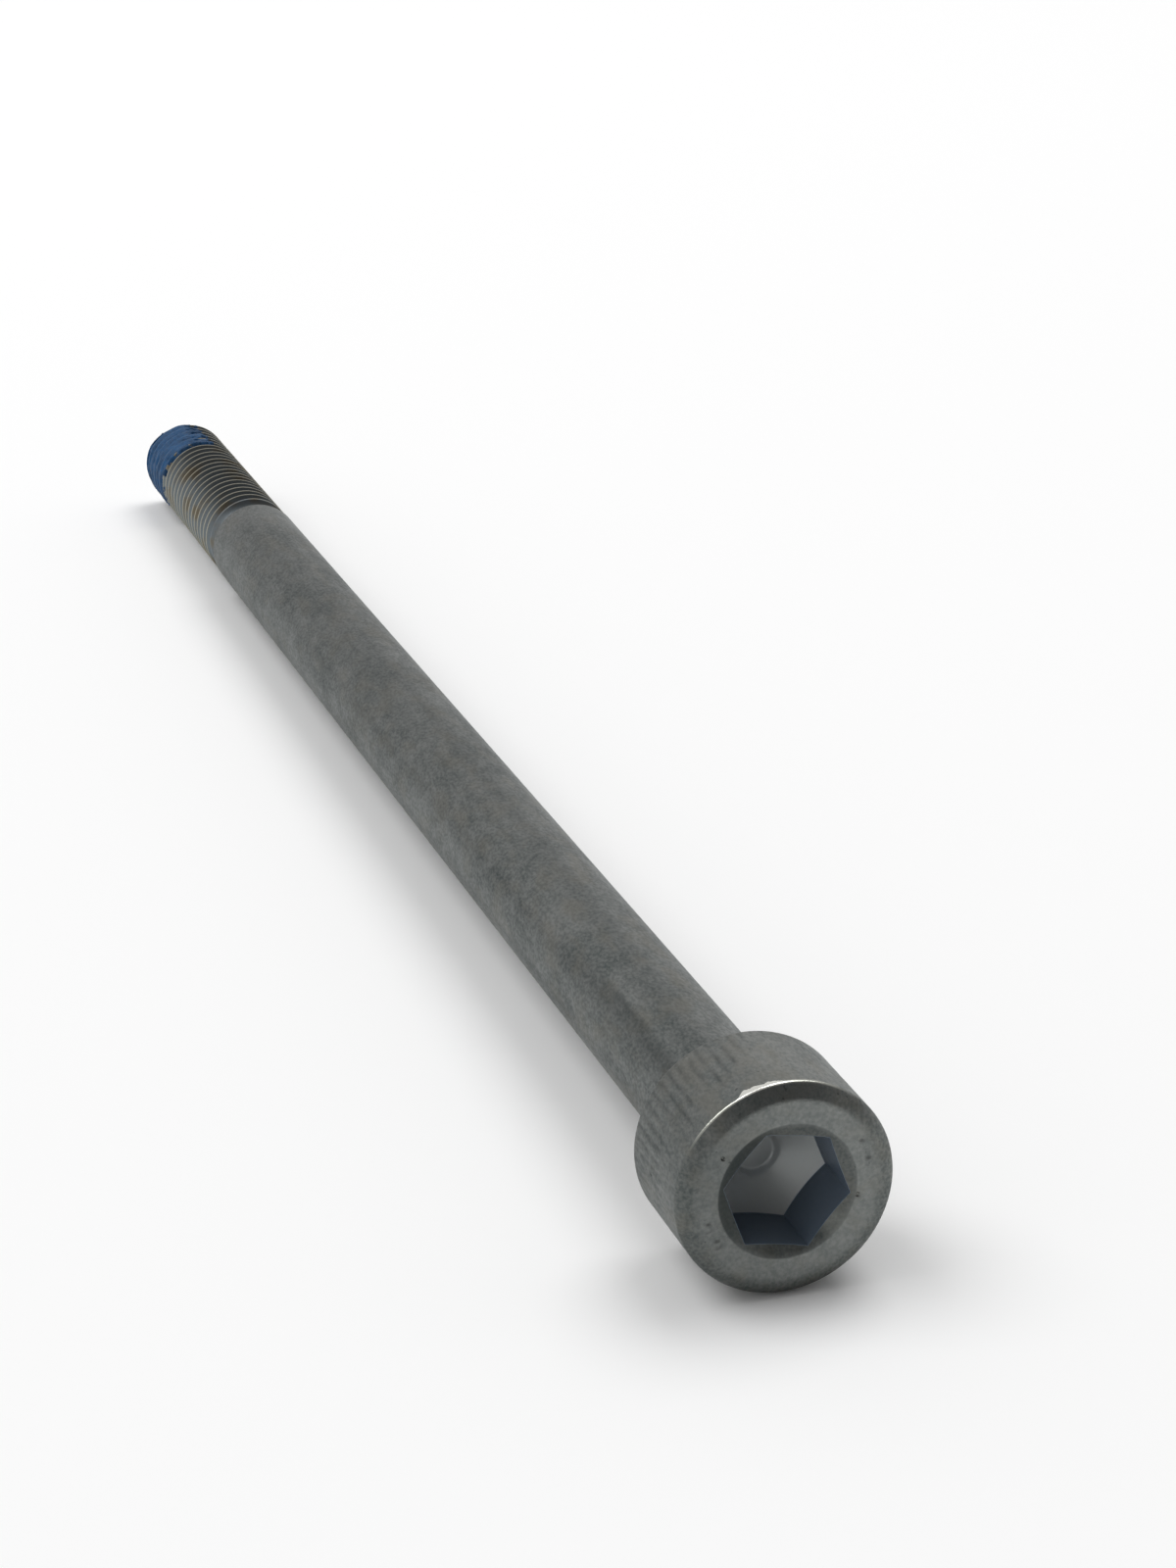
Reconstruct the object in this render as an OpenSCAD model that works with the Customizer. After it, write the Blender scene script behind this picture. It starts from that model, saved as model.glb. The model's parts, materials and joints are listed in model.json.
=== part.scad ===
// Long socket head cap screw, threaded at its end only, lying along +Y.
// The origin is the centre of the bearing face under the head, and the head points to -Y.

/* [Shank] */
// Length from the bearing face to the flat end
length = 120; // [60:1:160]
// Diameter of the plain shank
shank_d = 6; // [5.94:0.01:6.2]
// Radius of the fillet under the head
fillet_r = 0.3; // [0.1:0.05:0.8]

/* [Thread] */
// Length of the threaded end
thread_len = 24; // [14:0.5:40]
// Distance from one crest to the next
pitch = 1; // [0.8:0.05:1.25]
// Diameter over the crests
crest_d = 5.92; // [5.6:0.01:5.93]
// Length of the cone that leads from the shank down to the thread
shoulder_len = 0.5; // [0.3:0.05:1.5]
// Turns over which the thread deepens after the cone
runout_turns = 1.5; // [1:0.25:3]
// Diameter of the flat end
end_d = 4.3; // [3.6:0.05:4.5]
// Length of the chamfer at the end
end_chamfer = 0.8; // [0.4:0.05:1.5]

/* [Head] */
// Diameter of the head
head_d = 10; // [9.4:0.02:12]
// Height of the head
head_h = 6; // [5.5:0.1:8]
// Width of the worn chamfer round the outer face, across the face
face_chamfer_w = 0.7; // [0.3:0.05:0.8]
// Depth of the same chamfer, along the head
face_chamfer_h = 0.4; // [0.2:0.05:0.8]
// Width of the chamfer at the bearing face
bearing_chamfer = 0.2; // [0.1:0.05:0.4]

/* [Knurl] */
// Number of grooves round the head
knurl_count = 60; // [36:1:80]
// Depth of a groove
knurl_depth = 0.05; // [0.03:0.01:0.1]
// Width of a groove
knurl_w = 0.24; // [0.12:0.02:0.32]
// Plain band between the knurl and the bearing face
knurl_start = 0.7; // [0.5:0.05:1.5]
// Length of the knurl along the head
knurl_len = 3.4; // [1:0.1:3.5]

/* [Socket] */
// Width of the hexagon across its flats
hex_af = 5.1; // [4:0.05:5.3]
// Turn of the hexagon, from a corner at the top
hex_turn = 40; // [0:1:59]
// Depth of the hexagon at its corners
hex_depth = 3; // [2.5:0.1:3.2]
// Diameter of the countersink at the face
countersink_d = 6.3; // [6.2:0.05:6.8]
// Depth of the countersink
countersink_depth = 0.3; // [0.2:0.05:0.6]
// Depth of the pointed floor below the hexagon's corners
floor_depth = 1.1; // [0.5:0.05:1.3]
// Diameter of the flat spot in the middle of the floor
floor_spot_d = 1.8; // [0.8:0.1:2]

/* [Locking patch] */
// Length of the coated stretch
patch_len = 6; // [4:0.5:10]
// Bare thread left between the coating and the flat end
patch_end_gap = 0.5; // [0.5:0.5:3]
// Angle that the coating covers
patch_angle = 150; // [60:15:180]
// Direction of the coating's middle, from the top towards +X
patch_side = -57.5; // [-180:2.5:180]
// Height of the coating over the crests
patch_proud = 0.04; // [0.02:0.01:0.1]

/* [Hidden] */
$fn = 96;

TURN_STEPS = 24;     // flats in one turn of the thread
PROFILE = 4;         // corners in one pitch of the thread's profile
BURY = 0.03;         // how far a joined form's edge lies inside its neighbour

// A standard 60 degree thread, rolled on a blank of its pitch diameter
root_d = crest_d - 1.2269 * pitch;
blank_d = crest_d - 0.6495 * pitch;
thread_y = length - thread_len;
blank_y = thread_y + shoulder_len;

// Turns a form that was drawn round +Z so that its axis is +Y.
module along_y(y = 0) {
    translate([0, y, 0]) rotate([-90, 0, 0]) children();
}

// The thread's surface is a grid. Step i goes round the axis and row q goes along it, with PROFILE
// rows to a pitch. A whole turn of steps climbs one pitch, so it ends PROFILE rows further on.
ROW_PART = [0, 1 / 4, 9 / 16, 11 / 16];     // root's start and end, then the crest's
function grid_y(i, q) =
    blank_y + pitch * (floor(q / PROFILE) + ROW_PART[q % PROFILE] + i / TURN_STEPS - 1);
function deepened(y) = min(1, max(0, (y - blank_y) / (runout_turns * pitch)));
function thread_r(y, q) =
    (blank_d + ((q % PROFILE < 2 ? root_d : crest_d) - blank_d) * deepened(y)) / 2;
function chamfer_r(y) = (end_d + (crest_d - end_d) * (length - y) / end_chamfer) / 2;

// Rows past the flat end are laid onto it, each nearer to the axis than the one before.
function laid_r(y) = end_d / 2 * (1 - (y - length) / (3 * pitch));
function grid_r(y, q) = y < length ? min(thread_r(y, q), chamfer_r(y)) : laid_r(y);
function polar(r, y, i) =
    let (angle = patch_side + 180 + 360 * i / TURN_STEPS) [r * sin(angle), y, r * cos(angle)];
function grid_point(i, q) = let (y = grid_y(i, q)) polar(grid_r(y, q), min(y, length), i);

// Two triangles for one cell with the corners a, b, c and d
function cell(a, b, c, d) = [[a, b, c], [a, c, d]];

module threaded_end() {
    n = TURN_STEPS;
    rows = PROFILE * (ceil((length - blank_y) / pitch) + 2);
    points = [
        for (q = [0:rows - 1], i = [0:n - 1]) grid_point(i, q),
        [0, blank_y - 1.5 * pitch, 0],
        [0, length, 0]
    ];
    inner_tip = n * rows;
    outer_tip = n * rows + 1;
    sides = [
        for (q = [0:rows - 2], i = [0:n - 2])
            each cell(q * n + i, (q + 1) * n + i, (q + 1) * n + i + 1, q * n + i + 1),
        for (q = [0:rows - PROFILE - 2])
            each cell(q * n + n - 1, (q + 1) * n + n - 1, (q + PROFILE + 1) * n, (q + PROFILE) * n)
    ];
    inner_loop = [
        for (i = [0:n - 1]) i,
        for (q = [PROFILE:-1:1]) q * n
    ];
    outer_loop = [
        for (i = [0:n - 1]) (rows - 1) * n + i,
        for (q = [rows - 2:-1:rows - 1 - PROFILE]) q * n + n - 1
    ];
    caps = [
        for (k = [0:len(inner_loop) - 1])
            [inner_tip, inner_loop[k], inner_loop[(k + 1) % len(inner_loop)]],
        for (k = [0:len(outer_loop) - 1])
            [outer_tip, outer_loop[(k + 1) % len(outer_loop)], outer_loop[k]]
    ];
    polyhedron(points, concat(sides, caps));
}

// The plain shank with its fillet under the head, and the cone that runs into the thread
module shank() {
    r = shank_d / 2;
    slope = (r - blank_d / 2 + BURY) / shoulder_len;
    cone_end_r = root_d / 2 - 6 * BURY;
    along_y() rotate_extrude() {
        polygon([
            [0, -1], [r, -1], [r, thread_y],
            [cone_end_r, thread_y + (r - cone_end_r) / slope], [0, thread_y + (r - cone_end_r) / slope]
        ]);
        difference() {
            translate([r - BURY, -BURY]) square(fillet_r + BURY);
            translate([r + fillet_r, fillet_r]) circle(fillet_r);
        }
    }
}

module head_blank() {
    r = head_d / 2;
    along_y() rotate_extrude()
        polygon([
            [0, -head_h], [r - face_chamfer_w, -head_h], [r, face_chamfer_h - head_h],
            [r, -bearing_chamfer], [r - bearing_chamfer, 0], [0, 0]
        ]);
}

module knurl_grooves() {
    outside = 0.1;
    half = knurl_w / 2 * (1 + outside / knurl_depth);
    for (k = [0:knurl_count - 1])
        rotate([0, 360 * k / knurl_count, 0])
            along_y(-knurl_start - knurl_len)
                linear_extrude(knurl_len)
                    polygon([
                        [head_d / 2 - knurl_depth, 0],
                        [head_d / 2 + outside, -half], [head_d / 2 + outside, half]
                    ]);
}

// A hexagonal hole whose floor is the cone that the pointed punch leaves
module socket() {
    corner_r = hex_af / 2 / cos(30);
    over = 1;
    wide = corner_r + over;
    slope = floor_depth / (corner_r - floor_spot_d / 2);
    intersection() {
        rotate([0, hex_turn + 30, 0]) along_y(-head_h - over)
            cylinder(h = over + hex_depth + floor_depth + over, r = corner_r, $fn = 6);
        along_y(-head_h) rotate_extrude()
            polygon([
                [0, -over / 2], [wide, -over / 2], [wide, hex_depth - slope * over],
                [floor_spot_d / 2, hex_depth + floor_depth], [0, hex_depth + floor_depth]
            ]);
    }
    flare = (countersink_d / 2 - root_countersink_r()) / countersink_depth;
    along_y(-head_h) rotate_extrude()
        polygon([
            [0, -over / 2], [countersink_d / 2 + flare * over / 2, -over / 2],
            [root_countersink_r(), countersink_depth], [0, countersink_depth]
        ]);
}

// The countersink ends on the hexagon's flats.
function root_countersink_r() = hex_af / 2;

module cap_screw() {
    color([0.42, 0.43, 0.42]) {
        difference() {
            head_blank();
            knurl_grooves();
            socket();
        }
        shank();
        threaded_end();
    }
}

// The coating fills the grooves on one side, so its inner side is the thread's own surface.
module locking_patch() {
    steps = 2 * floor(patch_angle / 360 * TURN_STEPS / 2) + 1;
    first = round((TURN_STEPS - steps + 1) / 2);
    rows = PROFILE * floor(patch_len / pitch) + 1;
    start = PROFILE * floor((length - patch_end_gap - blank_y) / pitch) - rows + 1;
    outer_r = crest_d / 2 + patch_proud;
    grid = [for (q = [0:rows - 1], i = [0:steps - 1]) [first + i, start + q]];
    points = [
        for (g = grid) grid_point(g[0], g[1]),
        for (g = grid) polar(outer_r, grid_y(g[0], g[1]), g[0])
    ];
    top = len(grid);
    last = (rows - 1) * steps;
    faces = [
        for (q = [0:rows - 2], i = [0:steps - 2])
            let (a = q * steps + i, b = a + steps)
                each concat(cell(a, a + 1, b + 1, b), cell(top + a, top + b, top + b + 1, top + a + 1)),
        for (i = [0:steps - 2])
            each concat(cell(i + 1, i, top + i, top + i + 1),
                cell(last + i, last + i + 1, top + last + i + 1, top + last + i)),
        for (q = [0:rows - 2])
            let (a = q * steps, b = a + steps, c = a + steps - 1, d = c + steps)
                each concat(cell(a, b, top + b, top + a), cell(d, c, top + c, top + d))
    ];
    color([0.16, 0.36, 0.56]) polyhedron(points, faces);
}

cap_screw();
locking_patch();
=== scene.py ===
"""Long socket head cap screw with a blue thread-locking patch, lying on a pale floor.

The steel is one closed mesh. Its socket, head and shank are rings round the axis, and Geometry Nodes
press the knurl into the head, wind the thread and lay the coating on it. Sizes in the classes are
millimetres and degrees, and the meshes are metres. The screw's axis is +Y, and its head points to -Y. Angles
round the axis count from the top towards +X.
"""
import json
import logging
import math
from dataclasses import dataclass
from enum import Enum
from typing import Any, Iterable, Mapping, Sequence

import bmesh
import bpy
from mathutils import Euler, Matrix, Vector


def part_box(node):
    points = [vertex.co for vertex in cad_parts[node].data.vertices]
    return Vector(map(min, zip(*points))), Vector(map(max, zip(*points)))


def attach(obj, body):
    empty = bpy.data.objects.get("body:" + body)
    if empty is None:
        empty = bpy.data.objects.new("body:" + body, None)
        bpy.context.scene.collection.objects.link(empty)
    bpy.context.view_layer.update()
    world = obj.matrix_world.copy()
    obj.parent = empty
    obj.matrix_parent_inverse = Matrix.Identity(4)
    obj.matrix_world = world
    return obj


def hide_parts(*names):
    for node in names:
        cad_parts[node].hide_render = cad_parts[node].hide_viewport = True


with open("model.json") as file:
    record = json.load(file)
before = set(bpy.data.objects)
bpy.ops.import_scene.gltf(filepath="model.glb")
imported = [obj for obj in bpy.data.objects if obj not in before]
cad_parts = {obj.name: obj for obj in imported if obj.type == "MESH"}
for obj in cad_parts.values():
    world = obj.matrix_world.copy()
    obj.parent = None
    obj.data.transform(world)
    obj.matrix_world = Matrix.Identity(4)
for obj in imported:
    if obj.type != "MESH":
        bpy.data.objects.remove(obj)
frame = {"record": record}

MM = 0.001
MERGE = 2e-7  # distance in metres under which corners become one
LOG = logging.getLogger("cap_screw")
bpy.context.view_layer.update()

MATH = "ShaderNodeMath"
MAP_RANGE = "ShaderNodeMapRange"
NOISE = "ShaderNodeTexNoise"
MIX = "ShaderNodeMix"
VECTOR = "ShaderNodeVectorMath"

# Settings that many nodes share
ABSOLUTE = {"operation": "ABSOLUTE"}
ADD = {"operation": "ADD"}
ARCTAN2 = {"operation": "ARCTAN2"}
DIVIDE = {"operation": "DIVIDE"}
DOT_PRODUCT = {"operation": "DOT_PRODUCT"}
FRACT = {"operation": "FRACT"}
GREATER_THAN = {"operation": "GREATER_THAN"}
LENGTH = {"operation": "LENGTH"}
LESS_THAN = {"operation": "LESS_THAN"}
MAXIMUM = {"operation": "MAXIMUM"}
MINIMUM = {"operation": "MINIMUM"}
MULTIPLY = {"operation": "MULTIPLY"}
MULTIPLY_ADD = {"operation": "MULTIPLY_ADD"}
NORMALIZE = {"operation": "NORMALIZE"}
PINGPONG = {"operation": "PINGPONG"}
SCALE = {"operation": "SCALE"}
SUBTRACT = {"operation": "SUBTRACT"}
WRAP = {"operation": "WRAP"}
SMOOTH = {"interpolation_type": "SMOOTHSTEP"}
NUMBERS = {"data_type": "FLOAT"}
COLOURS = {"data_type": "RGBA"}


def srgb(hex_code: str) -> tuple[float, float, float, float]:
    """Turns an sRGB hex colour to linear.

    Args:
        hex_code: Six hex digits.

    Returns:
        The linear colour with an alpha of 1.
    """
    parts = [int(hex_code[i:i + 2], 16) / 255 for i in (0, 2, 4)]
    red, green, blue = (p / 12.92 if p <= 0.04045 else ((p + 0.055) / 1.055) ** 2.4 for p in parts)
    return red, green, blue, 1.0


def add_node(tree: bpy.types.NodeTree, kind: str, settings: Mapping[str, Any] | None = None,
             inputs: Mapping[Any, Any] | Sequence[Any] | None = None) -> bpy.types.Node:
    """Adds one node with its settings and its inputs.

    Args:
        tree: The tree that gets the node.
        kind: The node's type name.
        settings: Properties of the node by name.
        inputs: Its sockets by name or number, or a plain list from the first one on. Each is a
            constant, a socket that feeds it, or a node whose first output feeds it.

    Returns:
        The new node.
    """
    node = tree.nodes.new(kind)
    for name, value in (settings or {}).items():
        setattr(node, name, value)
    pairs = (inputs or {}).items() if isinstance(inputs or {}, Mapping) else enumerate(inputs)
    for key, value in pairs:
        if isinstance(value, bpy.types.Node):
            value = next(out for out in value.outputs if out.enabled)
        if isinstance(value, bpy.types.NodeSocket):
            tree.links.new(value, node.inputs[key])
        else:
            node.inputs[key].default_value = value
    return node


def link_mesh(name: str, mesh: bpy.types.Mesh) -> bpy.types.Object:
    """Puts a mesh into the scene as an object at the origin.

    Args:
        name: The object's name.
        mesh: Its mesh.

    Returns:
        The new object.
    """
    piece = bpy.data.objects.new(name, mesh)
    bpy.context.scene.collection.objects.link(piece)
    return piece


def run_modifiers(piece: bpy.types.Object) -> None:
    """Turns what a piece's modifiers make into its plain mesh, and removes them.

    Args:
        piece: The object that is changed.
    """
    depsgraph = bpy.context.evaluated_depsgraph_get()
    depsgraph.update()
    made = bpy.data.meshes.new_from_object(piece.evaluated_get(depsgraph), depsgraph=depsgraph)
    piece.modifiers.clear()
    piece.data = made


def tidy_mesh(mesh: bpy.types.Mesh, sharp_deg: float) -> None:
    """Closes seams, points the faces outwards and shades them smooth up to an edge angle.

    Args:
        mesh: The mesh to finish.
        sharp_deg: Angle between two faces from which their edge stays sharp.
    """
    work = bmesh.new()
    work.from_mesh(mesh)
    bmesh.ops.remove_doubles(work, verts=work.verts, dist=MERGE)
    bmesh.ops.dissolve_degenerate(work, edges=work.edges, dist=MERGE)
    bmesh.ops.recalc_face_normals(work, faces=work.faces)
    work.to_mesh(mesh)
    work.free()
    mesh.polygons.foreach_set("use_smooth", [True] * len(mesh.polygons))
    mesh.set_sharp_from_angle(angle=math.radians(sharp_deg))
    mesh.update()


def spread(low: float, high: float, count: int) -> list[float]:
    """Splits a stretch evenly into as many steps as counted, and gives the end of each."""
    return [low + (high - low) * k / count for k in range(1, count + 1)]


class NodeTree:
    """A tree that grows node by node."""

    def __init__(self, tree: bpy.types.NodeTree) -> None:
        """Takes over a tree and empties it."""
        self.tree = tree
        tree.nodes.clear()

    def add(self, kind: str, settings: Mapping[str, Any] | None = None,
            inputs: Mapping[Any, Any] | Sequence[Any] | None = None) -> bpy.types.Node:
        """Adds a node to this tree; the arguments are those of add_node."""
        return add_node(self.tree, kind, settings, inputs)


class GeometryTree(NodeTree):
    """A Geometry Nodes tree with named sizes, from a mesh to a mesh with its material."""

    def __init__(self, name: str, sizes: Iterable[str]) -> None:
        """Starts the tree.

        Args:
            name: The tree's name.
            sizes: Names of its number inputs.
        """
        super().__init__(bpy.data.node_groups.new(name, "GeometryNodeTree"))
        sockets = self.tree.interface
        sockets.new_socket("Geometry", in_out="INPUT", socket_type="NodeSocketGeometry")
        for size in sizes:
            sockets.new_socket(size, in_out="INPUT", socket_type="NodeSocketFloat")
        sockets.new_socket("Material", in_out="INPUT", socket_type="NodeSocketMaterial")
        sockets.new_socket("Geometry", in_out="OUTPUT", socket_type="NodeSocketGeometry")
        self.given = self.add("NodeGroupInput").outputs

    def finish(self, shape: bpy.types.Node) -> None:
        """Ends the tree in Realize Instances and Set Material.

        Args:
            shape: The node that carries the finished geometry.
        """
        real = self.add("GeometryNodeRealizeInstances", inputs={"Geometry": shape})
        dressed = self.add("GeometryNodeSetMaterial",
                           inputs={"Geometry": real, "Material": self.given["Material"]})
        self.add("NodeGroupOutput", inputs={"Geometry": dressed})

    def run_on(self, piece: bpy.types.Object, sizes: Mapping[str, Any]) -> None:
        """Runs the tree on a piece and keeps its result as the piece's plain mesh.

        Args:
            piece: The object that is changed.
            sizes: The tree's inputs by name.
        """
        modifier = piece.modifiers.new(self.tree.name, "NODES")
        modifier.node_group = self.tree
        for socket in self.tree.interface.items_tree:
            if socket.name in sizes:
                modifier[socket.identifier] = sizes[socket.name]
        run_modifiers(piece)


class WoundGrid(GeometryTree):
    """A tree that winds a flat grid round the screw's axis, with the thread's profile in it."""

    def __init__(self, name: str, sizes: Iterable[str], columns: int, rows: int) -> None:
        """Starts the tree with the grid, whose sides are 1 long.

        Args:
            name: The tree's name.
            sizes: Names of its number inputs, with Root and Crest among them.
            columns: Number of cells along X.
            rows: Number of cells along Y.
        """
        super().__init__(name, sizes)
        self.grid = self.add("GeometryNodeMeshGrid", None,
                             {"Size X": 1.0, "Size Y": 1.0, "Vertices X": columns + 1,
                              "Vertices Y": rows + 1})
        place = self.add("GeometryNodeInputPosition")
        self.flat = self.add("ShaderNodeSeparateXYZ", inputs=[place]).outputs

    def profile(self, share: Any) -> bpy.types.Node:
        """Cuts the thread's profile.

        Args:
            share: Share of a pitch, from one crest at 0 to the next at 1.

        Returns:
            The thread's radius there.
        """
        twice = self.add(MATH, MULTIPLY_ADD, [share, 2.0, -1.0])
        from_root = self.add(MATH, ABSOLUTE, [twice])
        return self.add(MAP_RANGE, None,
                        [from_root, 0.25, 0.875, self.given["Root"], self.given["Crest"]])

    def turned(self, angle: Any, height: Any, radius: Any) -> bpy.types.Node:
        """Finds a place round the axis.

        Args:
            angle: Direction from the top, in radians.
            height: Place along the axis.
            radius: Distance from it.

        Returns:
            The place.
        """
        spoke = self.add("ShaderNodeCombineXYZ", inputs=[0.0, height, radius])
        return self.add("ShaderNodeVectorRotate", {"rotation_type": "Y_AXIS"},
                        {"Vector": spoke, "Angle": angle})

    def wind(self, place: bpy.types.Node, name: str, sizes: Mapping[str, Any]) -> bpy.types.Object:
        """Moves the grid's points, welds its seams and makes the piece.

        Args:
            place: Where each point goes.
            name: The piece's name.
            sizes: The tree's inputs by name.

        Returns:
            The new object.
        """
        moved = self.add("GeometryNodeSetPosition", None, {"Geometry": self.grid, "Position": place})
        self.finish(self.add("GeometryNodeMergeByDistance", None,
                             {"Geometry": moved, "Distance": MERGE}))
        piece = link_mesh(name, bpy.data.meshes.new(name))
        self.run_on(piece, sizes)
        return piece


@dataclass(frozen=True)
class ScrewSizes:
    """The screw's main sizes in millimetres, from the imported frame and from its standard."""

    length: float
    head_h: float
    head_r: float
    shank_r: float
    thread_y: float
    pitch: float = 1.0
    crest_r: float = 2.96
    shoulder_len: float = 0.5

    @classmethod
    def from_frame(cls) -> "ScrewSizes":
        """Reads the sizes that the frame holds.

        Returns:
            The sizes of this screw.
        """
        low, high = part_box("cap_screw")
        shank = next(m for m in frame["record"]["mounts"] if m["name"] == "shank")
        start = shank["pos_m"][1] / MM
        return cls(length=high[1] / MM, head_h=-low[1] / MM, head_r=high[2] / MM,
                   shank_r=shank["dims"]["r_mm"], thread_y=start + shank["dims"]["length_mm"])

    @property
    def root_r(self) -> float:
        """Radius at the thread's roots, by the standard 60 degree profile."""
        return self.crest_r - 0.61345 * self.pitch

    @property
    def blank_r(self) -> float:
        """Radius of the blank that the thread is rolled on."""
        return self.crest_r - 0.32475 * self.pitch

    @property
    def blank_y(self) -> float:
        """Where the shoulder's cone meets the rolled blank."""
        return self.thread_y + self.shoulder_len


class MarkKind(Enum):
    """What a small mark is: the way in which it moves the surface, and how steep its side is."""

    PIT = (1, 2.2)
    DOT = (-1, 1.2)


@dataclass(frozen=True)
class SmallMark:
    """A small round pit or plain raised dot in the head's face or side, in degrees and millimetres."""

    kind: MarkKind
    angle: float
    place: float
    radius: float
    depth: float


@dataclass
class HeadAndShank:
    """The forged head with its socket, and the plain shank, as rings of points round the axis."""

    sizes: ScrewSizes
    steps: int = 480
    hex_af: float = 5.1
    hex_turn: float = 40.0
    hex_depth: float = 3.0
    floor_depth: float = 1.1
    floor_spot_r: float = 0.9
    countersink_r: float = 3.2
    countersink_depth: float = 0.22
    chamfer_w: float = 0.7
    chamfer_h: float = 0.4
    rim_round: float = 0.12
    flat_share: float = 0.6
    spot_sink: float = 0.1
    spot_wall: float = 0.24
    face_rings: int = 20
    rim_rings: int = 12
    side_rings: int = 30
    shank_rings: int = 16
    worn_w: float = 0.85
    crisp_angles: tuple[float, float] = (-52.0, 34.0)
    crisp_fade: float = 26.0
    bearing_chamfer: float = 0.2
    fillet_r: float = 0.3
    face_marks: tuple[SmallMark, ...] = (
        SmallMark(MarkKind.PIT, -56, 3.59, 0.11, 0.09),
        SmallMark(MarkKind.PIT, 101, 3.27, 0.13, 0.07),
        *(SmallMark(MarkKind.DOT, angle, 3.78, 0.3, 0.06) for angle in (-108, -122, 62, 76)),
    )
    side_marks: tuple[SmallMark, ...] = (
        SmallMark(MarkKind.PIT, -91, -2.47, 0.11, 0.08),
        SmallMark(MarkKind.PIT, -58, -0.62, 0.1, 0.05),
    )

    def hex_r(self, angle: float) -> float:
        """Radius of the hexagon in a direction, given in degrees."""
        off_flat = (angle - self.hex_turn) % 60 - 30
        return self.hex_af / 2 / math.cos(math.radians(off_flat))

    def floor_y(self, radius: float) -> float:
        """Works out the socket's pointed floor, in which the punch's tip left a sunk spot.

        Args:
            radius: Distance from the axis.

        Returns:
            The floor's height there.
        """
        corner_r = self.hex_af / 2 / math.cos(math.radians(30))
        slope = self.floor_depth / (corner_r - self.floor_spot_r)
        sunk = min(max((self.floor_spot_r + self.spot_wall - radius) / self.spot_wall, 0.0), 1.0)
        cone = -self.sizes.head_h + self.hex_depth + (corner_r - max(radius, self.floor_spot_r)) * slope
        return cone + self.spot_sink * sunk

    def countersink_y(self, radius: float) -> float:
        """Height of the countersink's cone at a radius."""
        run = self.countersink_r - self.hex_af / 2
        return -self.sizes.head_h + self.countersink_depth * (self.countersink_r - radius) / run

    def socket_ring(self, share: float) -> list[tuple[float, float, float]]:
        """Points of one ring inside the socket.

        Args:
            share: 0 at the floor's flat spot, 1 at the foot of the walls and 2 at their top.

        Returns:
            Angle, radius and height of each point.
        """
        ring = []
        for i in range(self.steps):
            angle = self.hex_turn + 360 * i / self.steps
            wall = self.hex_r(angle)
            if share <= 1:
                near = self.floor_spot_r * 0.9
                radius = near + share * (wall - near)
                ring.append((angle, radius, self.floor_y(radius)))
            else:
                foot, top = self.floor_y(wall), self.countersink_y(wall)
                ring.append((angle, wall, foot + (share - 1) * (top - foot)))
        return ring

    def flare_ring(self, share: float) -> list[tuple[float, float, float]]:
        """Points of one ring of the countersink.

        Args:
            share: 0 at the hexagon's edge and 1 at the face.

        Returns:
            Angle, radius and height of each point.
        """
        ring = []
        for i in range(self.steps):
            angle = self.hex_turn + 360 * i / self.steps
            wall = self.hex_r(angle)
            radius = wall + share * (self.countersink_r - wall)
            ring.append((angle, radius, self.countersink_y(radius)))
        return ring

    def crispness(self, angle: float) -> float:
        """Tells how much of the chamfer's edges is left.

        Args:
            angle: A direction in degrees.

        Returns:
            1 where they are crisp, down to 0 where they are worn round.
        """
        turned = (angle + 180) % 360 - 180
        low, high = self.crisp_angles
        past = max(low - turned, turned - high, 0.0) / self.crisp_fade
        share = max(0.0, 1.0 - past)
        return share * share * (3 - 2 * share)

    def rim_point(self, share: float, crisp: float) -> tuple[float, float]:
        """A point between the flat face and the head's side.

        Args:
            share: 0 at the face and 1 at the side.
            crisp: 1 for the chamfer with its edges, 0 for a rounding in its place.

        Returns:
            Radius and height.
        """
        s, rim = self.sizes, self.rim_round
        turn = math.radians(90 * share)
        worn_r = s.head_r - self.worn_w * (1 - math.sin(turn))
        worn_y = -s.head_h + (self.chamfer_h + rim) * (1 - math.cos(turn))
        flat = min(share / self.flat_share, 1.0)
        chamfer_r = s.head_r - self.chamfer_w + flat * (self.chamfer_w - 0.4 * rim)
        chamfer_y = -s.head_h + flat * (self.chamfer_h - 0.25 * rim)
        if share > self.flat_share:
            round_part = (share - self.flat_share) / (1 - self.flat_share)
            bend = math.radians(30 + 60 * round_part)
            chamfer_r = s.head_r - rim + rim * math.sin(bend) + 0.1 * rim * (1 - round_part)
            chamfer_y = -s.head_h + self.chamfer_h + rim * (0.75 - math.cos(bend)) + 0.25 * rim * round_part
        return worn_r + crisp * (chamfer_r - worn_r), worn_y + crisp * (chamfer_y - worn_y)

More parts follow.
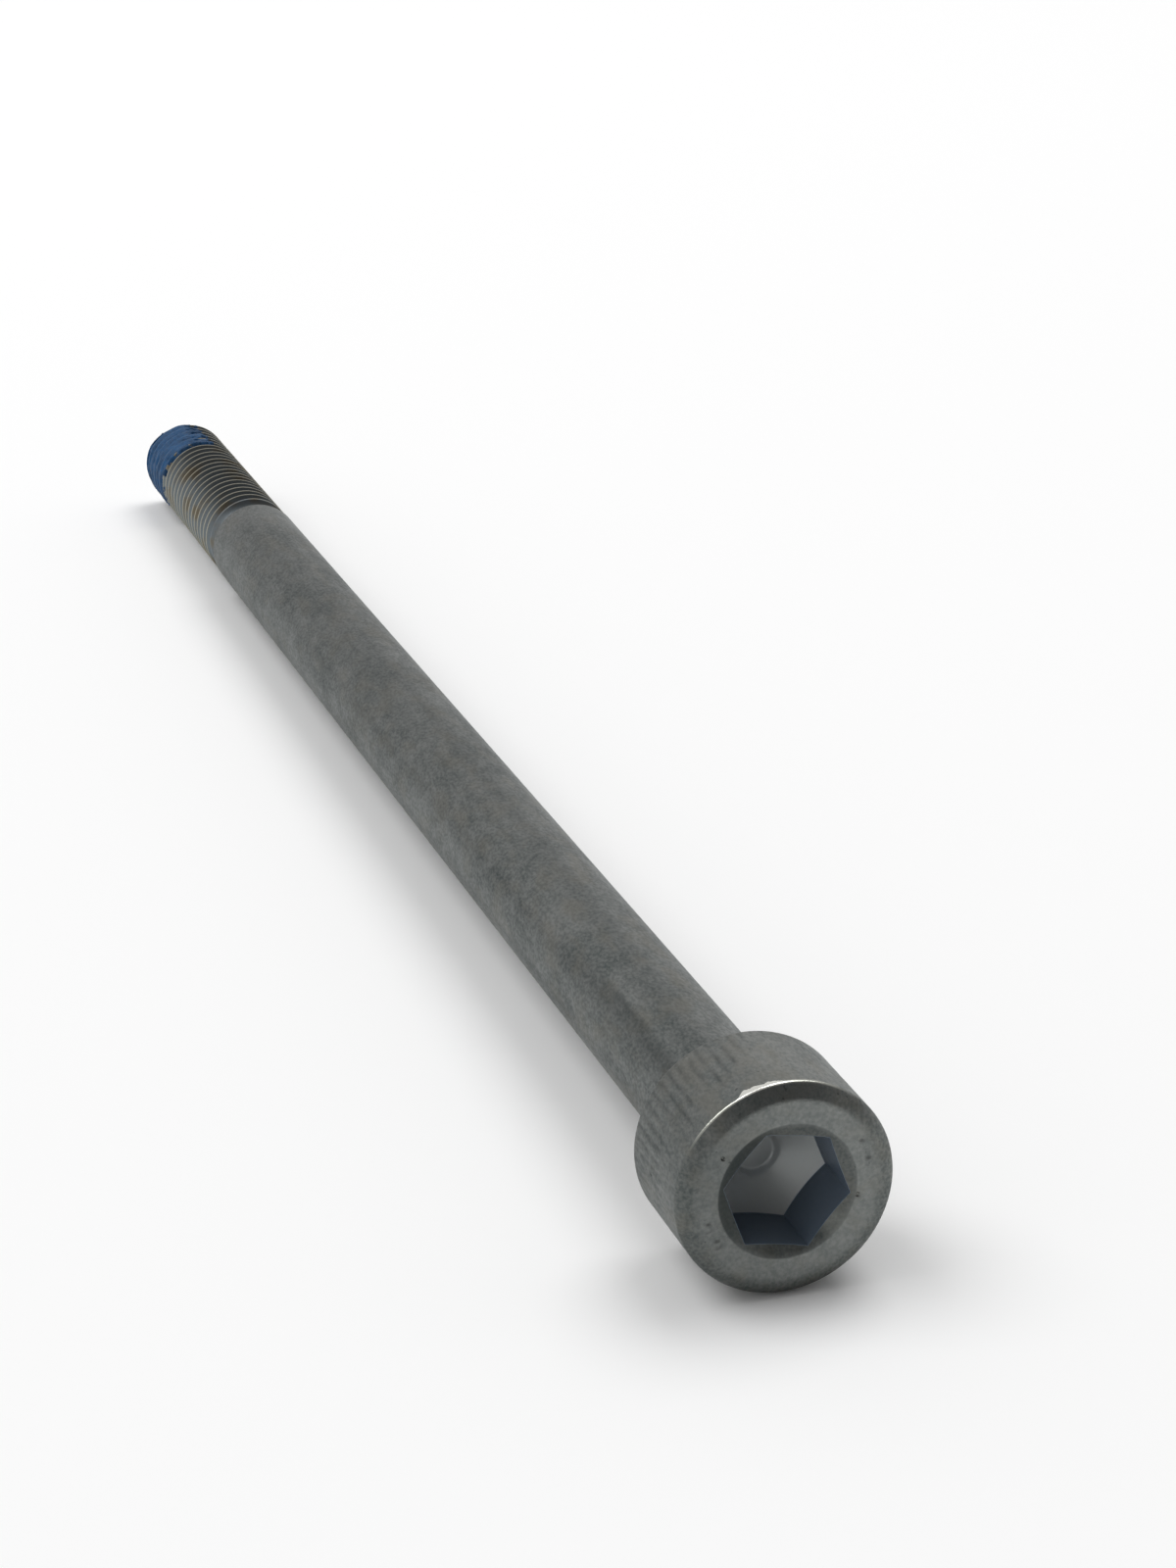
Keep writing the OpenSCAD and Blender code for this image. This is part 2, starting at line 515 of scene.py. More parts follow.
    def outline(self) -> list[tuple[float, float]]:
        """Draws the outside, from the countersink's edge to the end that the thread hides.

        Returns:
            Radius and height of each ring.
        """
        s, b = self.sizes, self.bearing_chamfer
        face_start = self.countersink_r + 0.03
        side_start = self.chamfer_h - s.head_h + self.rim_round
        face = spread(face_start, s.head_r - self.worn_w - 0.02, self.face_rings)
        side = spread(side_start, -b - 0.04, self.side_rings)
        points = [(radius, -s.head_h) for radius in (face_start, *face)]
        points += [self.rim_point(k / (self.rim_rings - 1), 1.0) for k in range(self.rim_rings)]
        points += [(s.head_r, height) for height in side]
        points += [(s.head_r - 0.02, -b + 0.01), (s.head_r - b / 2, -b / 2), (s.head_r - b + 0.02, -0.015),
                   (s.head_r - b - 0.04, 0.0), (4.0, 0.0), (s.shank_r + self.fillet_r, 0.0)]
        for turn in spread(0.0, math.pi / 2, 5):
            points.append((s.shank_r + self.fillet_r * (1 - math.sin(turn)),
                           self.fillet_r * (1 - math.cos(turn))))
        shank = spread(self.fillet_r, s.thread_y - 0.06, self.shank_rings)
        points += [(s.shank_r, height) for height in shank]
        cone = (s.shank_r - s.blank_r + 0.03) / s.shoulder_len
        end_r = s.root_r - 0.18
        points += [(s.shank_r - 0.02, s.thread_y + 0.02), (s.shank_r - 0.1, s.thread_y + 0.1 / cone),
                   (end_r, s.thread_y + (s.shank_r - end_r) / cone)]
        return points

    def dented(self, radius: float, height: float, angle: float) -> tuple[float, float]:
        """Moves a point of the face or of the head's side by the marks near it.

        Args:
            radius: The point's radius.
            height: Its place along the axis.
            angle: Its direction in degrees.

        Returns:
            Its new radius and height.
        """
        s = self.sizes
        on_face = height < -s.head_h + 1e-6
        on_side = radius > s.head_r - 1e-6
        marks = self.face_marks if on_face else self.side_marks if on_side else ()
        for mark in marks:
            turned = math.radians((angle - mark.angle + 180) % 360 - 180)
            across = turned * (mark.place if on_face else radius)
            along = (radius if on_face else height) - mark.place
            near = 1 - math.hypot(across, along) / mark.radius
            if near > 0:
                way, steepness = mark.kind.value
                near = min(near * steepness, 1.0)
                push = way * mark.depth * near * near * (3 - 2 * near)
                return (radius, height + push) if on_face else (radius - push, height)
        return radius, height

    def build(self) -> bpy.types.Object:
        """Makes the closed mesh of the head and shank.

        Returns:
            The new object.
        """
        floor_shares = (0, 0.04, 0.07, 0.1, 0.13, 0.16, 0.2, 0.3, 0.5, 0.7, 0.85, 1)
        rings = [self.socket_ring(share) for share in floor_shares]
        rings += [self.socket_ring(1 + share) for share in (0.02, 0.1, 0.3, 0.5, 0.7, 0.9, 0.98, 1)]
        rings += [self.flare_ring(share) for share in (0.08, 0.5, 0.92)]
        outline = self.outline()
        first_rim = next(k for k, point in enumerate(outline) if point[1] > -self.sizes.head_h) - 1
        for k, (radius, height) in enumerate(outline):
            ring = []
            for i in range(self.steps):
                angle = self.hex_turn + 360 * i / self.steps
                if 0 <= k - first_rim < self.rim_rings:
                    share = (k - first_rim) / (self.rim_rings - 1)
                    radius, height = self.rim_point(share, self.crispness(angle))
                ring.append((angle, *self.dented(radius, height, angle)))
            rings.append(ring)
        verts = [(0.0, rings[0][0][2] * MM, 0.0)]
        for ring in rings:
            for angle, radius, height in ring:
                turn = math.radians(angle)
                verts.append((radius * MM * math.sin(turn), height * MM, radius * MM * math.cos(turn)))
        verts.append((0.0, rings[-1][0][2] * MM, 0.0))
        n, last = self.steps, len(rings) - 1
        faces: list[tuple[int, ...]] = []
        for i in range(n):
            j = (i + 1) % n
            faces.append((0, 1 + i, 1 + j))
            faces.append((len(verts) - 1, 1 + last * n + j, 1 + last * n + i))
            for k in range(last):
                a, b = 1 + k * n, 1 + (k + 1) * n
                faces.append((a + i, b + i, b + j, a + j))
        mesh = bpy.data.meshes.new("head_and_shank")
        mesh.from_pydata(verts, [], faces)
        piece = link_mesh("head_and_shank", mesh)
        tidy_mesh(mesh, 40)
        return piece


@dataclass
class Knurl:
    """The straight grooves round the head, worn away on most of it."""

    sizes: ScrewSizes
    count: int = 60
    depth: float = 0.055
    start: float = 0.3
    length: float = 4.3
    kept_angle: float = -55.0
    wear_w: float = 10 / 7
    seed: float = 3.0

    def press(self, piece: bpy.types.Object, material: bpy.types.Material) -> None:
        """Presses the grooves into the head.

        Args:
            piece: The head and shank.
            material: The finish that the tree sets.
        """
        sizes = {"Count": float(self.count), "Depth": self.depth * MM, "Head radius": self.sizes.head_r * MM,
                 "Start": -self.start * MM, "End": -(self.start + self.length) * MM,
                 "Kept angle": math.radians(self.kept_angle), "Seed": self.seed}
        knurl = GeometryTree("knurl", sizes)
        given = knurl.given
        place = knurl.add("GeometryNodeInputPosition")
        axes = knurl.add("ShaderNodeSeparateXYZ", inputs=[place]).outputs

        # The grooves round the head, and where each begins and ends
        angle = knurl.add(MATH, ARCTAN2, [axes["X"], axes["Z"]])
        turns = knurl.add(MATH, DIVIDE, [angle, math.tau])
        teeth = knurl.add(MATH, MULTIPLY, [turns, given["Count"]])
        part = knurl.add(MATH, FRACT, [teeth])
        off = knurl.add(MATH, SUBTRACT, [part, 0.5])
        side = knurl.add(MATH, ABSOLUTE, [off])
        groove = knurl.add(MAP_RANGE, SMOOTH, [side, 0.02, 0.42, 1.0, 0.0])
        fade = MM * 0.35
        from_rear = knurl.add(MATH, SUBTRACT, [given["Start"], axes["Y"]])
        rear = knurl.add(MAP_RANGE, SMOOTH, [from_rear, 0.0, fade * 0.5, 0.0, 1.0])
        from_front = knurl.add(MATH, SUBTRACT, [axes["Y"], given["End"]])
        front = knurl.add(MAP_RANGE, SMOOTH, [from_front, 0.0, 6 * fade, 0.0, 1.0])

        # Wear has left them on one side, and unevenly
        away = knurl.add(MATH, SUBTRACT, [angle, given["Kept angle"]])
        apart = knurl.add(MATH, ABSOLUTE, [away])
        kept = knurl.add(MAP_RANGE, SMOOTH, [apart, 0.3, 1.1, 1.0, 0.25])
        patchy = knurl.add(NOISE, {"noise_dimensions": "4D"},
                           {"Vector": place, "W": given["Seed"], "Scale": 1 / (self.wear_w * MM),
                            "Detail": 2.0})
        wear = knurl.add(MAP_RANGE, None, [patchy, 0.38, 0.6, 0.25, 1.0])

        # Only the head's side moves inwards
        spoke = knurl.add("ShaderNodeCombineXYZ", inputs=[axes["X"], 0.0, axes["Z"]])
        radius = knurl.add(VECTOR, LENGTH, [spoke]).outputs["Value"]
        least = knurl.add(MATH, SUBTRACT, [given["Head radius"], 0.1 * MM])
        on_side = knurl.add("FunctionNodeCompare", {**NUMBERS, "operation": "GREATER_EQUAL"},
                            [radius, least])
        amount = knurl.add(MATH, MULTIPLY, [groove, given["Depth"]])
        for share in (rear, front, kept, wear):
            amount = knurl.add(MATH, MULTIPLY, [amount, share])
        outward = knurl.add(VECTOR, NORMALIZE, [spoke])
        back = knurl.add(MATH, MULTIPLY, [amount, -1.0])
        push = knurl.add(VECTOR, SCALE, {0: outward, "Scale": back})
        moved = knurl.add("GeometryNodeSetPosition", None,
                          {"Geometry": given["Geometry"], "Selection": on_side, "Offset": push})
        knurl.finish(moved)
        knurl.run_on(piece, {**sizes, "Material": material})


@dataclass
class Thread:
    """The rolled thread: a ribbon one pitch wide that winds round the axis and welds to itself."""

    sizes: ScrewSizes
    steps: int = 72
    profile_steps: int = 16
    end_r: float = 2.15
    end_chamfer: float = 0.8
    runout_turns: float = 1.5
    buried: float = 0.715

    @property
    def start_y(self) -> float:
        """The buried start, where a crest stands at the top, in step with the solid's crests."""
        return self.sizes.blank_y - self.buried

    def build(self, material: bpy.types.Material) -> bpy.types.Object:
        """Winds the closed threaded end.

        Args:
            material: Its finish.

        Returns:
            The new object.
        """
        s = self.sizes
        start_y = self.start_y
        first_y = start_y - 2 * s.pitch
        turns = math.ceil((s.length - first_y) / s.pitch) + 1
        sizes = {"Turns": float(turns), "Pitch": s.pitch * MM, "First": first_y * MM, "Start": start_y * MM,
                 "Length": s.length * MM, "Root": s.root_r * MM, "Crest": s.crest_r * MM,
                 "Blank": s.blank_r * MM, "Blank place": s.blank_y * MM, "End radius": self.end_r * MM,
                 "Chamfer place": (s.length - self.end_chamfer) * MM,
                 "Full place": (s.blank_y + self.runout_turns * s.pitch) * MM}
        thread = WoundGrid("thread", sizes, turns * self.steps, self.profile_steps)
        given, flat = thread.given, thread.flat

        # The ribbon climbs one pitch in a turn, between the buried start and the flat end
        along = thread.add(MATH, ADD, [flat["X"], 0.5])
        across = thread.add(MATH, ADD, [flat["Y"], 0.5])
        turn = thread.add(MATH, MULTIPLY, [along, given["Turns"]])
        climb = thread.add(MATH, ADD, [turn, across])
        raw_y = thread.add(MATH, MULTIPLY_ADD, [climb, given["Pitch"], given["First"]])
        high = thread.add(MATH, MINIMUM, [raw_y, given["Length"]])
        height = thread.add(MATH, MAXIMUM, [high, given["Start"]])

        # The profile deepens over the runout and ends in the chamfer
        full = thread.profile(across)
        deep = thread.add(MAP_RANGE, None, [height, given["Blank place"], given["Full place"], 0.0, 1.0])
        rolled = thread.add(MIX, NUMBERS, {0: deep, 2: given["Blank"], 3: full})
        bevel = thread.add(MAP_RANGE, {"clamp": False},
                           [height, given["Chamfer place"], given["Length"], given["Crest"],
                            given["End radius"]])
        radius = thread.add(MATH, MINIMUM, [rolled, bevel])

        # What lies beyond either end closes in on the axis
        past = thread.add(MATH, SUBTRACT, [raw_y, given["Length"]])
        before = thread.add(MATH, SUBTRACT, [given["Start"], raw_y])
        beyond = thread.add(MATH, MAXIMUM, [past, before])
        share = thread.add(MAP_RANGE, None, [beyond, 0.0, given["Pitch"], 1.0, 0.0])
        closing = thread.add(MATH, MULTIPLY, [radius, share])
        angle = thread.add(MATH, MULTIPLY, [turn, math.tau])
        place = thread.turned(angle, height, closing)
        piece = thread.wind(place, "threaded_end", {**sizes, "Material": material})
        tidy_mesh(piece.data, 60)
        return piece


@dataclass
class LockingPatch:
    """The nylon coating on one side of the thread, full in the middle and feathered at its edge."""

    sizes: ScrewSizes
    side: float = -57.5
    angle: float = 154.0
    end_gap: float = 0.45
    length: float = 6.3
    proud: float = 0.09
    sink: float = 0.05
    under: float = 0.012
    bite_w: float = 10 / 13
    rows: int = 320
    columns: int = 64
    seed: float = 5.0

    def build(self, material: bpy.types.Material, phase_y: float) -> bpy.types.Object:
        """Lays the coating on the thread as a thin closed skin.

        Args:
            material: Its finish.
            phase_y: A place on the axis where a crest stands at the top.

        Returns:
            The new object.
        """
        s = self.sizes
        sizes = {"Side": math.radians(self.side), "Angle": math.radians(self.angle),
                 "End": (s.length - self.end_gap) * MM, "Long": self.length * MM, "Pitch": s.pitch * MM,
                 "Phase": phase_y * MM, "Root": s.root_r * MM, "Crest": s.crest_r * MM,
                 "Outside": (s.crest_r + self.proud) * MM, "Sink": self.sink * MM, "Seed": self.seed}
        patch = WoundGrid("locking_patch", sizes, self.columns, self.rows)
        given, flat = patch.given, patch.flat

        # The grid is folded into an inner and an outer layer that meet at the near end
        turn = patch.add(MATH, MULTIPLY_ADD, [flat["X"], given["Angle"], given["Side"]])
        folded = patch.add(MATH, ABSOLUTE, [flat["Y"]])
        from_end = patch.add(MATH, MULTIPLY_ADD, [folded, -2.0, 1.0])
        inner = patch.add(MATH, LESS_THAN, [flat["Y"], 0.0])
        back = patch.add(MATH, MULTIPLY, [from_end, given["Long"]])
        height = patch.add(MATH, SUBTRACT, [given["End"], back])

        # The bare thread under it, and the distance to the coating's edge
        turns = patch.add(MATH, DIVIDE, [turn, math.tau])
        climbed = patch.add(MATH, SUBTRACT, [height, given["Phase"]])
        pitches = patch.add(MATH, DIVIDE, [climbed, given["Pitch"]])
        across = patch.add(MATH, SUBTRACT, [pitches, turns])
        bare = patch.profile(patch.add(MATH, FRACT, [across]))
        sideways = patch.add(MATH, ABSOLUTE, [flat["X"]])
        to_side = patch.add(MATH, MULTIPLY_ADD, [sideways, -2.0, 1.0])
        to_end = patch.add(MATH, PINGPONG, [from_end, 0.5])
        near_side = patch.add(MATH, MULTIPLY, [to_side, 3.4])
        near_end = patch.add(MATH, MULTIPLY, [to_end, 9.0])
        to_edge = patch.add(MATH, MINIMUM, [near_side, near_end])

        # The coating thins out towards its edge, with bites out of it
        on_thread = patch.turned(turn, height, bare)
        ragged = patch.add(NOISE, {"noise_dimensions": "4D"},
                           {"Vector": on_thread, "W": given["Seed"], "Scale": 1 / (self.bite_w * MM),
                            "Detail": 3.0})
        bite = patch.add(MAP_RANGE, None, [ragged, 0.3, 0.7, -0.9, 0.5])
        uneven = patch.add(MATH, ADD, [to_edge, bite])
        cover = patch.add(MAP_RANGE, SMOOTH, [uneven, 0.0, 0.7, 0.0, 1.0])
        border = patch.add(MAP_RANGE, None, [to_edge, 0.0, 0.12, 0.0, 1.0])
        window = patch.add(MATH, MULTIPLY, [cover, border])

        # The outer layer fills the grooves, and the inner one lies below the thread's surface
        sag = patch.add(MAP_RANGE, None, [ragged, 0.35, 0.65, 0.72, 0.94])
        room = patch.add(MATH, SUBTRACT, [given["Outside"], bare])
        filled = patch.add(MATH, MULTIPLY, [room, sag])
        raised = patch.add(MATH, MULTIPLY, [filled, window])
        sunk = patch.add(MATH, MULTIPLY, [given["Sink"], -1.0])
        lowered = patch.add(MATH, MULTIPLY, [sunk, border])
        depth = patch.add(MIX, NUMBERS, {0: inner, 2: raised, 3: lowered})
        skin = patch.add(MATH, ADD, [depth, bare])
        under = patch.add(MATH, MULTIPLY_ADD, [border, -self.under * MM, skin])
        place = patch.turned(turn, height, under)
        piece = patch.wind(place, "nylon_patch", {**sizes, "Material": material})
        tidy_mesh(piece.data, 80)
        return piece


class Finish(NodeTree):
    """A shader tree of one material, whose patterns lie on the object's own coordinates."""

    def __init__(self, name: str) -> None:
        """Starts the material.

        Args:
            name: The material's name.
        """
        self.material = bpy.data.materials.new(name)
        self.material.use_nodes = True
        super().__init__(self.material.node_tree)
        self.place = self.add("ShaderNodeTexCoord").outputs["Object"]

    def mottling(self, size: float, detail: float = 2.0, drawn: float = 1.0,
                 seed: float = 0.0) -> bpy.types.Node:
        """Spreads uneven spots over the object.

        Args:
            size: Width of a spot in millimetres.
            detail: Number of finer layers.
            drawn: A spot's width over its length along the screw.
            seed: Tells one pattern from another.

        Returns:
            The node whose first output is the pattern.
        """
        spread = self.add(VECTOR, MULTIPLY, [self.place, (1, drawn, 1)])
        return self.add(NOISE, {"noise_dimensions": "4D"},
                        {"Vector": spread, "W": seed, "Scale": 1 / (size * MM), "Detail": detail})

    def mask(self, *steps: Any) -> Any:
        """Multiplies soft steps and other masks.

        Args:
            steps: Each is a mask, a constant share, or a value with the places where its step is 0 and
                where it is 1; two more numbers take the place of that 0 and 1.

        Returns:
            The product.
        """
        product: Any = None
        for step in steps:
            if isinstance(step, tuple):
                step = self.add(MAP_RANGE, None, step)
            product = step if product is None else self.add(MATH, MULTIPLY, [product, step])
        return product

    def paint(self, colour: Any, hex_code: str, *steps: Any) -> bpy.types.Node:
        """Lays a colour over another.

        Args:
            colour: What lies below.
            hex_code: The sRGB colour that is laid on it.
            steps: Where it lies, as the steps of a mask.

        Returns:
            The node of the mixed colour.
        """
        return self.add(MIX, COLOURS, {0: self.mask(*steps), 6: colour, 7: srgb(hex_code)})

    def finish(self, surface: Mapping[str, Any]) -> bpy.types.Material:
        """Ends the tree in one surface.

        Args:
            surface: The surface's sockets by name.

        Returns:
            The finished material.
        """
        shader = self.add("ShaderNodeBsdfPrincipled", inputs=surface)
        self.add("ShaderNodeOutputMaterial", inputs=[shader])
        return self.material


class ScrewFinish(Finish):
    """A finish that knows the places along the screw's axis, away from it and round it."""

    def __init__(self, name: str) -> None:
        """Starts the material.

        Args:
            name: The material's name.
        """
        super().__init__(name)
        axes = self.add("ShaderNodeSeparateXYZ", inputs=[self.place]).outputs
        spoke = self.add("ShaderNodeCombineXYZ", inputs=[axes["X"], 0.0, axes["Z"]])
        self.along = axes["Y"]
        self.radius = self.add(VECTOR, LENGTH, [spoke]).outputs["Value"]
        self.angle = self.add(MATH, ARCTAN2, [axes["X"], axes["Z"]])

    def toward(self, middle: float, half: float, edge: float) -> bpy.types.Node:
        """Makes a mask that is 1 near one direction round the axis.

        Args:
            middle: The direction in degrees.
            half: Degrees to each side of it over which the mask is 1.
            edge: Degrees over which it then falls to 0.

        Returns:
            The mask.
        """
        off = self.add(MATH, SUBTRACT, [self.angle, math.radians(middle)])
        apart = self.add(MATH, ABSOLUTE, [self.add(MATH, WRAP, [off, math.pi, -math.pi])])
        return self.add(MAP_RANGE, SMOOTH, [apart, math.radians(half), math.radians(half + edge), 1.0, 0.0])


@dataclass(frozen=True)
class SocketZones:
    """Masks of the socket's surfaces."""

    inside: Any
    walls: Any
    floor: Any
    flare: Any


@dataclass(frozen=True)
class CoatedSteel:
    """A zinc flake coating, dipped and baked on steel.

    To the eye it is dull, mottled and grainy, with bright steel where the head's front rim is worn and a
    painted highlight on that rim, a lighter face as painted light, a darker shank and darker places on the
    head and in the countersink as painted shade, a bluer film in the socket, and a smoother thread with
    painted glints on its flanks and painted highlights on its crests. Spots and grain are given by their
    width in millimetres, as fractions that give whole waves to the metre.
    """

    sizes: ScrewSizes
    light: str = "8D8E8B"
    dark: str = "5D6362"
    # Painted light on the face's inner ring, and darker copies of the coating on the shank as painted shade
    face: str = "A2A4A2"
    shank_light: str = "868886"
    shank_dark: str = "4C5251"
    warm: str = "7C786D"
    # The worn rim's colour, also used for painted highlights, and the near white of the painted highlight at
    # the rim's top
    worn: str = "A9AAA2"
    bright: str = "F4F3EC"
    # Dark marks and darkening, also used for painted shade
    dark_marks_and_shade: str = "2E3333"
    floor: str = "B2B5B4"
    wall: str = "616F80"
    thread: str = "7B8286"
    # Painted highlight on the thread's crests, and painted glints on its flanks
    glint: str = "B5AE98"
    flank: str = "7A6B50"
    cloud_w: float = 100 / 33
    spot_w: float = 2 / 3
    grain_w: float = 2 / 13
    warm_w: float = 10 / 9
    speck_w: float = 10 / 47
    cluster_w: float = 2.0
    band_w: float = 1.0
    streak_w: float = 10 / 9
    groove_end_w: float = 1.25
    groove_dark_w: float = 10 / 17
    ragged_w: float = 10 / 19
    glint_w: float = 50 / 21
    dent_w: float = 10 / 11
    grain_depth: float = 0.012
    dent_depth: float = 0.035
    rim_thick: float = 0.07
    rough: float = 0.42
    thread_rough: float = 0.32
    socket_rough: float = 0.36
    worn_rough: float = 0.28

    def coat(self, steel: ScrewFinish, tone: Any, on_shank: Any) -> bpy.types.Node:
        """Colours the mottled coating, with a darker copy of it on the shank as painted shade and a lighter
        ring on the face as painted light.

        Args:
            steel: The tree.
            tone: The mottling, from dark at 0 to light at 1.
            on_shank: Mask of all that lies past the bearing face.

        Returns:
            The colour.
        """
        s = self.sizes
        # Painted shade: the shank gets darker copies of the coating's two tones
        dark = steel.paint(srgb(self.dark), self.shank_dark, on_shank)
        light = steel.paint(srgb(self.light), self.shank_light, on_shank)
        colour = steel.add(MIX, COLOURS, {0: tone, 6: dark, 7: light})
        warmer = steel.mottling(self.warm_w, 3.0, 0.5, 14.0)
        colour = steel.paint(colour, self.warm, (warmer, 0.48, 0.66, 0.0, 0.35))
        # Painted light: the inner ring of the face is lightened
        colour = steel.paint(colour, self.face, (steel.along, (0.08 - s.head_h) * MM, (0.02 - s.head_h) * MM),
                             (steel.radius, (s.head_r - 0.55) * MM, (s.head_r - 0.95) * MM), 0.3)
        return steel.paint(colour, self.dark_marks_and_shade, (steel.mottling(self.speck_w, 1.0, seed=3.0), 0.68, 0.76),
                           (steel.mottling(self.cluster_w, 1.0, seed=9.0), 0.45, 0.6), 0.6)

    def shank_marks(self, steel: ScrewFinish, colour: Any, on_shank: Any) -> bpy.types.Node:
        """Adds the bands of the drawn shank, a dark streak by the head, painted shade on the left of the
        head, and a darkening of the shank from 15 mm towards its far end.

        Args:
            steel: The tree.
            colour: The colour so far.
            on_shank: Mask of all that lies past the bearing face.

        Returns:
            The new colour.
        """
        bands = steel.mottling(self.band_w, 1.5, 0.012, 4.0)
        colour = steel.paint(colour, self.dark_marks_and_shade, (bands, 0.4, 0.62, 0.0, 0.2), on_shank)
        reach = steel.add(MAP_RANGE, SMOOTH, [steel.along, 7 * MM, 22 * MM, 1.0, 0.0])
        uneven = steel.mottling(self.streak_w, 2.0, 0.12, 10.0)
        colour = steel.paint(colour, self.dark_marks_and_shade, steel.toward(-46, 2, 11), reach, on_shank,
                             (uneven, 0.35, 0.6, 0.3, 0.7))
        # Painted shade on the left of the head; the shank darkens from 15 mm on
        painted_shade_head_left = steel.mask(steel.toward(-85, 35, 60), 0.2, (steel.along, 0.1 * MM, -0.1 * MM))
        far_half = steel.mask((steel.along, 15 * MM, 60 * MM, 0.0, 0.16))
        return steel.paint(colour, self.dark_marks_and_shade, steel.add(MATH, MAXIMUM, [painted_shade_head_left, far_half]))

    def knurl_groove_darkening(self, steel: ScrewFinish, colour: Any, outside: Any) -> bpy.types.Node:
        """Darkens what is left of the knurl's grooves.

        Args:
            steel: The tree.
            colour: The colour so far.
            outside: Mask of the head's side.

        Returns:
            The new colour.
        """
        teeth = steel.add(MATH, MULTIPLY, [steel.angle, Knurl(self.sizes).count / math.tau])
        part = steel.add(MATH, FRACT, [teeth])
        off = steel.add(MATH, ABSOLUTE, [steel.add(MATH, SUBTRACT, [part, 0.5])])
        uneven = steel.mottling(self.groove_end_w, 2.0, 0.15, 11.0)
        ends = steel.mask((uneven, 0.38, 0.62, -1.6 * MM, -5.2 * MM))
        past_end = steel.add(MATH, SUBTRACT, [steel.along, ends])
        at_rear = steel.mask((steel.along, -1.1 * MM, -0.7 * MM), 0.55)
        kept = steel.add(MATH, MAXIMUM, [steel.toward(-50, 26, 34), at_rear])
        return steel.paint(colour, self.dark_marks_and_shade, (off, 0.33, 0.03), (past_end, 0.0, 1.2 * MM),
                           (steel.along, -0.22 * MM, -0.36 * MM), outside, kept,
                           (steel.mottling(self.groove_dark_w, 2.0, 0.4, 12.0), 0.3, 0.6, 0.08, 0.5))

    def socket_zones(self, steel: ScrewFinish) -> SocketZones:
        """Tells the socket's surfaces apart by their distance from the axis across the hexagon's flats.

        Args:
            steel: The tree.

        Returns:
            Their masks.
        """
        socket = HeadAndShank(self.sizes)
        flat_r, edge_r = socket.hex_af / 2, socket.countersink_r
        across: Any = 0.0
        for turn in (30, 90, 150):
            way = math.radians(socket.hex_turn + turn)
            flat = steel.add(VECTOR, DOT_PRODUCT, [steel.place, (math.sin(way), 0.0, math.cos(way))])
            apart = steel.add(MATH, ABSOLUTE, [flat.outputs["Value"]])
            across = steel.add(MATH, MAXIMUM, [across, apart])
        in_head = steel.mask((steel.along, -1.2 * MM, -1.4 * MM))
        inside = steel.mask(in_head, (steel.radius, (edge_r + 0.02) * MM, (edge_r - 0.06) * MM))
        past_wall = steel.mask((across, (flat_r + 0.01) * MM, (flat_r + 0.02) * MM))
        floor = steel.mask(in_head, (across, (flat_r - 0.01) * MM, (flat_r - 0.03) * MM))
        not_floor = steel.add(MATH, SUBTRACT, [inside, floor])
        walls = steel.add(MATH, MAXIMUM, [steel.add(MATH, SUBTRACT, [not_floor, past_wall]), 0.0])
        return SocketZones(inside, walls, floor, steel.mask(inside, past_wall))

    def socket_colours(self, steel: ScrewFinish, colour: Any, zones: SocketZones) -> bpy.types.Node:
        """Colours the socket: bluer walls, a paler floor with a dark spot, and a countersink that is darkened
        all round, with painted shade on its left and a painted highlight on its lower right.

        Args:
            steel: The tree.
            colour: The colour so far.
            zones: The socket's masks.

        Returns:
            The new colour.
        """
        colour = steel.paint(colour, self.floor, zones.floor, 0.9)
        colour = steel.paint(colour, self.dark_marks_and_shade, (steel.radius, 0.8 * MM, 0.95 * MM, 0.3, 0.0), zones.floor)
        colour = steel.paint(colour, self.wall, zones.walls, 0.9)
        # The countersink is darkened all round, with more painted shade on its left
        painted_shade_left = steel.mask(steel.toward(-75, 40, 30), 0.35)
        colour = steel.paint(colour, self.dark_marks_and_shade, zones.flare, steel.add(MATH, ADD, [painted_shade_left, 0.42]))
        # Painted highlight on the countersink's lower right, in the worn rim's colour
        return steel.paint(colour, self.worn, zones.flare, steel.toward(131, 5, 11), 0.16)

    def rim_wear_and_highlight(self, steel: ScrewFinish, outside: Any) -> Any:
        """Marks the band between the face's chamfer and the side that is partly bright wear and partly
        painted highlight. It lies only round the top and is thickest in two places, where the lamps would
        shine on it.

        Args:
            steel: The tree.
            outside: Mask of the head's side.

        Returns:
            The mask of the wear and of the painted highlight.
        """
        rim_y = HeadAndShank(self.sizes).chamfer_h - self.sizes.head_h
        from_rim = steel.add(MATH, SUBTRACT, [steel.along, rim_y * MM])
        # Painted highlights: the band is thickest where the lamps would shine on the rim
        thickest = steel.mask(steel.toward(-13, 7, 7), 0.34 * MM)
        thicker = steel.mask(steel.toward(9, 6, 9), 0.13 * MM)
        thick = steel.add(MATH, ADD, [steel.add(MATH, ADD, [thickest, thicker]), self.rim_thick * MM])
        ragged = steel.mask(thick, (steel.mottling(self.ragged_w, 3.0, seed=5.0), 0.35, 0.65, 0.55, 1.15))
        below = steel.add(MATH, LESS_THAN, [from_rim, ragged])
        above = steel.add(MATH, GREATER_THAN, [from_rim, -0.03 * MM])
        return steel.mask(below, above, outside, steel.toward(-12, 30, 24))

    def thread_colours(self, steel: ScrewFinish, colour: Any, threaded: Any) -> bpy.types.Node:
        """Colours the thread: darker grooves, painted brownish glints on its flanks and painted highlights on
        its crests.

        Args:
            steel: The tree.
            colour: The colour so far.
            threaded: Mask of the thread.

        Returns:
            The new colour.
        """
        s = self.sizes
        colour = steel.paint(colour, self.thread, threaded)
